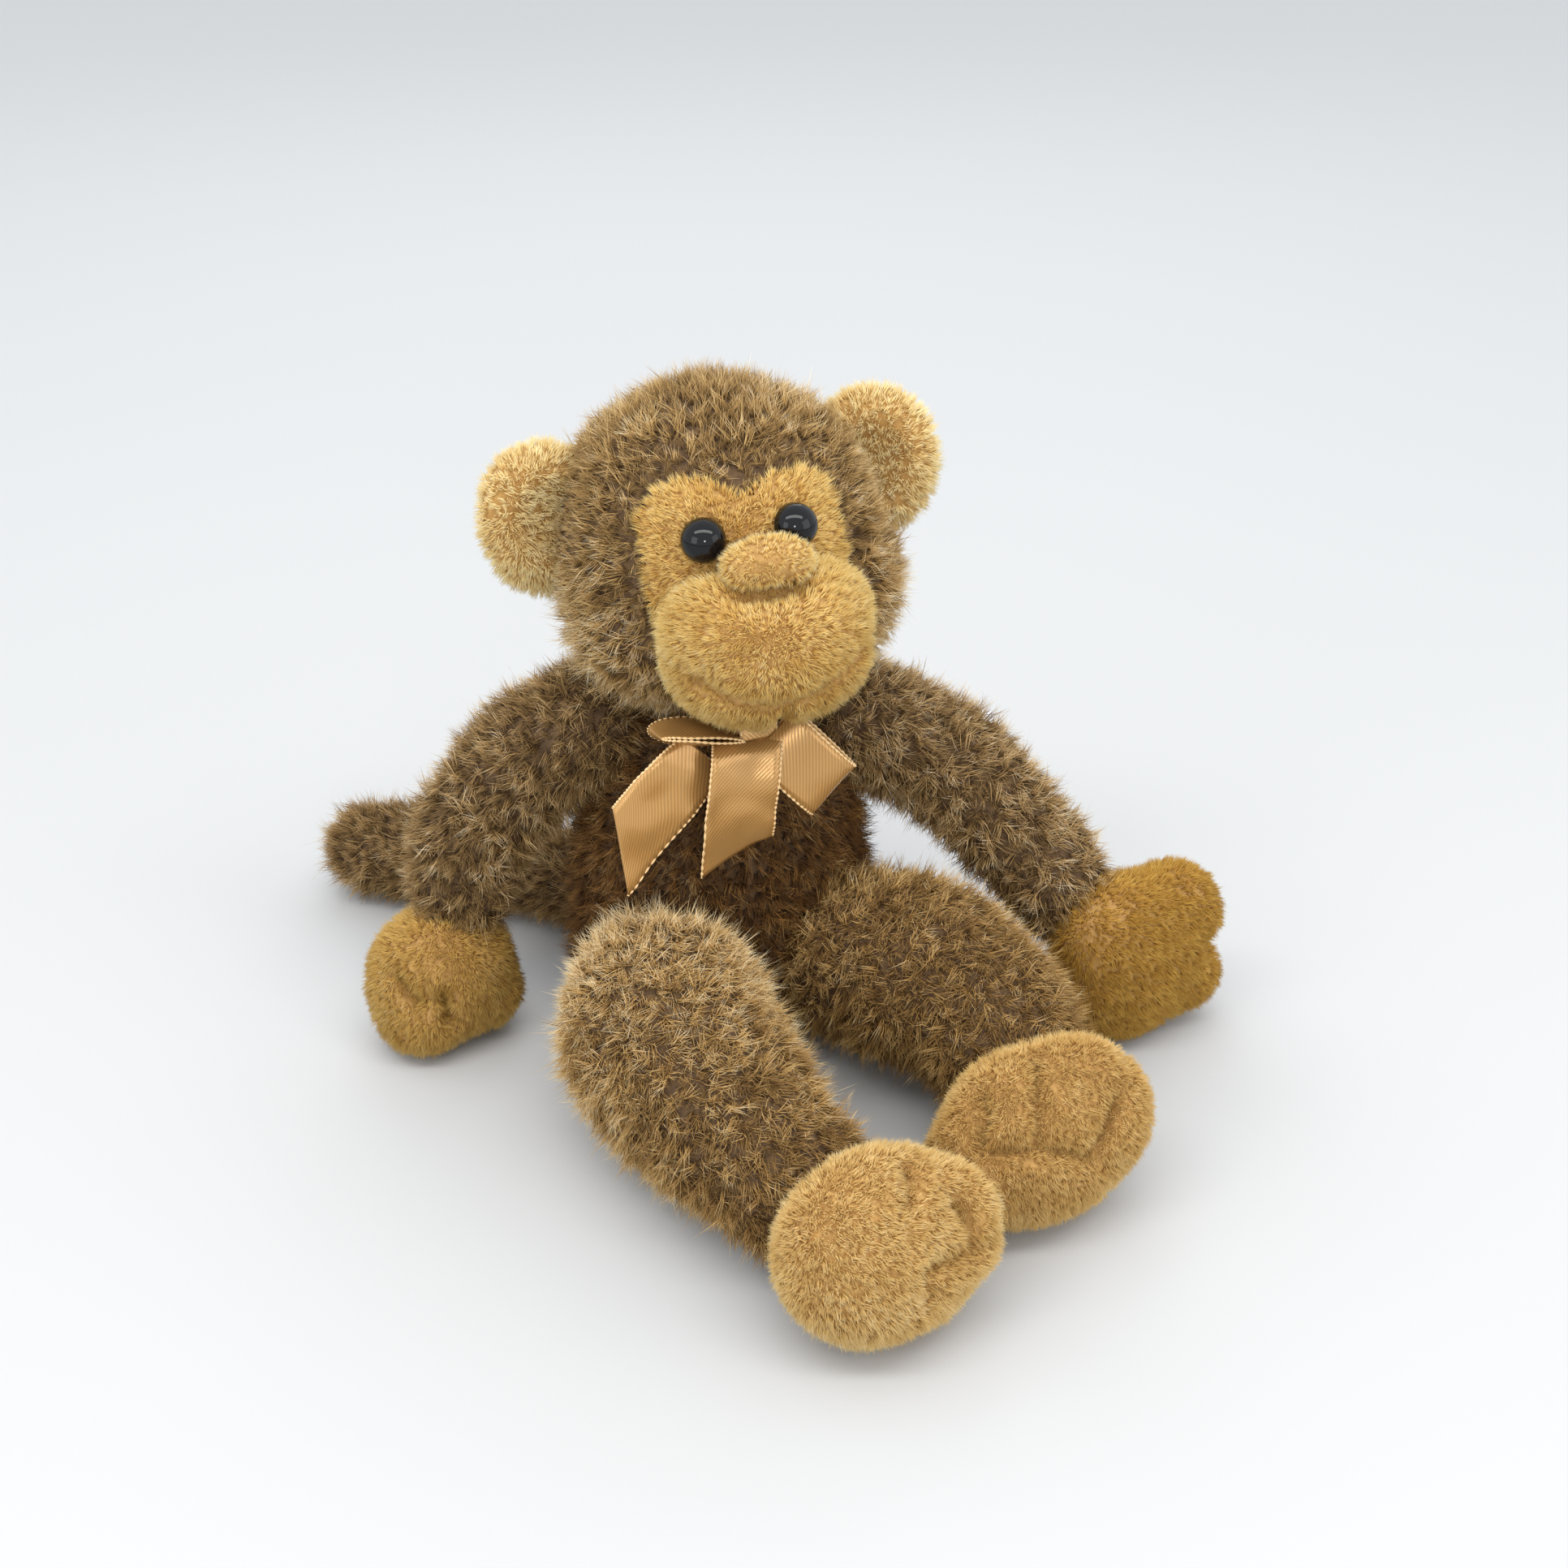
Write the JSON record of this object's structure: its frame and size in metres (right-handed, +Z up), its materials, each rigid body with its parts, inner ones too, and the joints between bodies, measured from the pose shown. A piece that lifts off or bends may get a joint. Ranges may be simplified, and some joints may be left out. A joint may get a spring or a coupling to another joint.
{
  "type": "stuffed monkey",
  "caption": "Seated plush monkey with a turning head, swinging arms, spreading legs, bendable hands, feet and tail, domed eyes and a satin bow at the neck.",
  "frame": {"origin": "on the flat of the seat, under the neck, where the toy rests on the floor", "axes": "+Z up, -Y the way the monkey faces, +X its own left side"},
  "size_m": [0.2327, 0.2835, 0.1848],
  "materials": {
    "back_seam_thread": "sewing thread",
    "bow_knot": "satin ribbon",
    "bow_loop_left": "satin ribbon",
    "bow_loop_right": "satin ribbon",
    "bow_tail_left": "satin ribbon",
    "bow_tail_right": "satin ribbon",
    "ear_left_back": "short plush",
    "ear_left_front": "short plush",
    "ear_right_back": "short plush",
    "ear_right_front": "short plush",
    "eye_left": "glossy black",
    "eye_right": "glossy black",
    "eye_washer_left": "matt plastic",
    "eye_washer_right": "matt plastic",
    "face_mask": "short plush",
    "head_skin": "long mottled plush",
    "head_stuffing": "polyester filling",
    "left_arm_skin": "long mottled plush",
    "left_arm_stuffing": "polyester filling",
    "left_finger_thread_1": "sewing thread",
    "left_finger_thread_2": "sewing thread",
    "left_foot_beans": "plastic pellets",
    "left_foot_skin": "short plush",
    "left_hand_beans": "plastic pellets",
    "left_hand_skin": "short plush",
    "left_hip_gather": "sewing thread",
    "left_leg_skin": "long mottled plush",
    "left_leg_stuffing": "polyester filling",
    "left_shoulder_gather": "sewing thread",
    "left_toe_thread_1": "sewing thread",
    "left_toe_thread_2": "sewing thread",
    "mouth_thread": "sewing thread",
    "muzzle_skin": "short plush",
    "muzzle_stuffing": "polyester filling",
    "neck_gather_thread": "sewing thread",
    "neck_ribbon": "satin ribbon",
    "nose_pad": "short plush",
    "nose_thread": "sewing thread",
    "right_arm_skin": "long mottled plush",
    "right_arm_stuffing": "polyester filling",
    "right_finger_thread_1": "sewing thread",
    "right_finger_thread_2": "sewing thread",
    "right_foot_beans": "plastic pellets",
    "right_foot_skin": "short plush",
    "right_hand_beans": "plastic pellets",
    "right_hand_skin": "short plush",
    "right_hip_gather": "sewing thread",
    "right_leg_skin": "long mottled plush",
    "right_leg_stuffing": "polyester filling",
    "right_shoulder_gather": "sewing thread",
    "right_toe_thread_1": "sewing thread",
    "right_toe_thread_2": "sewing thread",
    "seat_bean_bag": "plastic pellets",
    "tail_skin": "long mottled plush",
    "tail_stuffing": "polyester filling",
    "torso_skin": "long mottled plush",
    "torso_stuffing": "polyester filling"
  },
  "bodies": {
    "torso": {"back_seam_thread": "back_seam_thread", "bow_knot": "bow_knot", "bow_loop_left": "bow_loop_left", "bow_loop_right": "bow_loop_right", "bow_tail_left": "bow_tail_left", "bow_tail_right": "bow_tail_right", "neck_ribbon": "neck_ribbon", "seat_bean_bag": "seat_bean_bag", "torso_skin": "torso_skin", "torso_stuffing": "torso_stuffing"},
    "neck_gather": {"neck_gather_thread": "neck_gather_thread"},
    "head": {"ear_left_back": "ear_left_back", "ear_left_front": "ear_left_front", "ear_right_back": "ear_right_back", "ear_right_front": "ear_right_front", "eye_left": "eye_left", "eye_right": "eye_right", "eye_washer_left": "eye_washer_left", "eye_washer_right": "eye_washer_right", "face_mask": "face_mask", "head_skin": "head_skin", "head_stuffing": "head_stuffing", "mouth_thread": "mouth_thread", "muzzle_skin": "muzzle_skin", "muzzle_stuffing": "muzzle_stuffing", "nose_pad": "nose_pad", "nose_thread": "nose_thread"},
    "right_shoulder_gather": {"right_shoulder_gather": "right_shoulder_gather"},
    "right_arm": {"right_arm_skin": "right_arm_skin", "right_arm_stuffing": "right_arm_stuffing"},
    "right_hand": {"right_finger_thread_1": "right_finger_thread_1", "right_finger_thread_2": "right_finger_thread_2", "right_hand_beans": "right_hand_beans", "right_hand_skin": "right_hand_skin"},
    "right_hip_gather": {"right_hip_gather": "right_hip_gather"},
    "right_leg": {"right_leg_skin": "right_leg_skin", "right_leg_stuffing": "right_leg_stuffing"},
    "right_foot": {"right_foot_beans": "right_foot_beans", "right_foot_skin": "right_foot_skin", "right_toe_thread_1": "right_toe_thread_1", "right_toe_thread_2": "right_toe_thread_2"},
    "left_shoulder_gather": {"left_shoulder_gather": "left_shoulder_gather"},
    "left_arm": {"left_arm_skin": "left_arm_skin", "left_arm_stuffing": "left_arm_stuffing"},
    "left_hand": {"left_finger_thread_1": "left_finger_thread_1", "left_finger_thread_2": "left_finger_thread_2", "left_hand_beans": "left_hand_beans", "left_hand_skin": "left_hand_skin"},
    "left_hip_gather": {"left_hip_gather": "left_hip_gather"},
    "left_leg": {"left_leg_skin": "left_leg_skin", "left_leg_stuffing": "left_leg_stuffing"},
    "left_foot": {"left_foot_beans": "left_foot_beans", "left_foot_skin": "left_foot_skin", "left_toe_thread_1": "left_toe_thread_1", "left_toe_thread_2": "left_toe_thread_2"},
    "tail": {"tail_skin": "tail_skin", "tail_stuffing": "tail_stuffing"}
  },
  "joints": [
    {"name": "neck_turn", "type": "hinge", "parent": "torso", "child": "neck_gather", "pos_m": [0.002, 0, 0.084], "axis": [0, 0, 1], "range_deg": [-45, 45]},
    {"name": "neck_nod", "type": "hinge", "parent": "neck_gather", "child": "head", "pos_m": [0.002, 0, 0.084], "axis": [1, 0, 0], "range_deg": [-20, 3]},
    {"name": "right_shoulder_swing", "type": "hinge", "parent": "torso", "child": "right_shoulder_gather", "pos_m": [-0.035, 0.006, 0.091], "axis": [-0.9397, 0.342, 0], "range_deg": [-15, 65]},
    {"name": "right_arm_lift", "type": "hinge", "parent": "right_shoulder_gather", "child": "right_arm", "pos_m": [-0.035, 0.006, 0.091], "axis": [0, 1, 0], "range_deg": [0, 60]},
    {"name": "right_wrist_bend", "type": "hinge", "parent": "right_arm", "child": "right_hand", "pos_m": [-0.07, 0.013, 0.044], "axis": [0, 1, 0], "range_deg": [0, 30]},
    {"name": "right_hip_spread", "type": "hinge", "parent": "torso", "child": "right_hip_gather", "pos_m": [-0.027, -0.034, 0.026], "axis": [0, 0, -1], "range_deg": [0, 35]},
    {"name": "right_hip_lift", "type": "hinge", "parent": "right_hip_gather", "child": "right_leg", "pos_m": [-0.027, -0.034, 0.026], "axis": [-1, 0, 0], "range_deg": [0, 25]},
    {"name": "right_ankle_bend", "type": "hinge", "parent": "right_leg", "child": "right_foot", "pos_m": [-0.022, -0.123, 0.025], "axis": [-1, 0, 0], "range_deg": [0, 25]},
    {"name": "left_shoulder_swing", "type": "hinge", "parent": "torso", "child": "left_shoulder_gather", "pos_m": [0.039, -0.004, 0.087], "axis": [-0.9397, -0.342, 0], "range_deg": [0, 50]},
    {"name": "left_arm_lift", "type": "hinge", "parent": "left_shoulder_gather", "child": "left_arm", "pos_m": [0.039, -0.004, 0.087], "axis": [0, -1, 0], "range_deg": [0, 45]},
    {"name": "left_wrist_bend", "type": "hinge", "parent": "left_arm", "child": "left_hand", "pos_m": [0.086, -0.045, 0.045], "axis": [0, -1, 0], "range_deg": [0, 30]},
    {"name": "left_hip_spread", "type": "hinge", "parent": "torso", "child": "left_hip_gather", "pos_m": [0.031, -0.03, 0.026], "axis": [0, 0, 1], "range_deg": [0, 8]},
    {"name": "left_hip_lift", "type": "hinge", "parent": "left_hip_gather", "child": "left_leg", "pos_m": [0.031, -0.03, 0.026], "axis": [-1, 0, 0], "range_deg": [0, 18]},
    {"name": "left_ankle_bend", "type": "hinge", "parent": "left_leg", "child": "left_foot", "pos_m": [0.05, -0.097, 0.026], "axis": [-1, 0, 0], "range_deg": [0, 25]},
    {"name": "tail_swing", "type": "hinge", "parent": "torso", "child": "tail", "pos_m": [-0.012, 0.04, 0.015], "axis": [0, 0, 1], "range_deg": [-25, 25]}
  ]
}
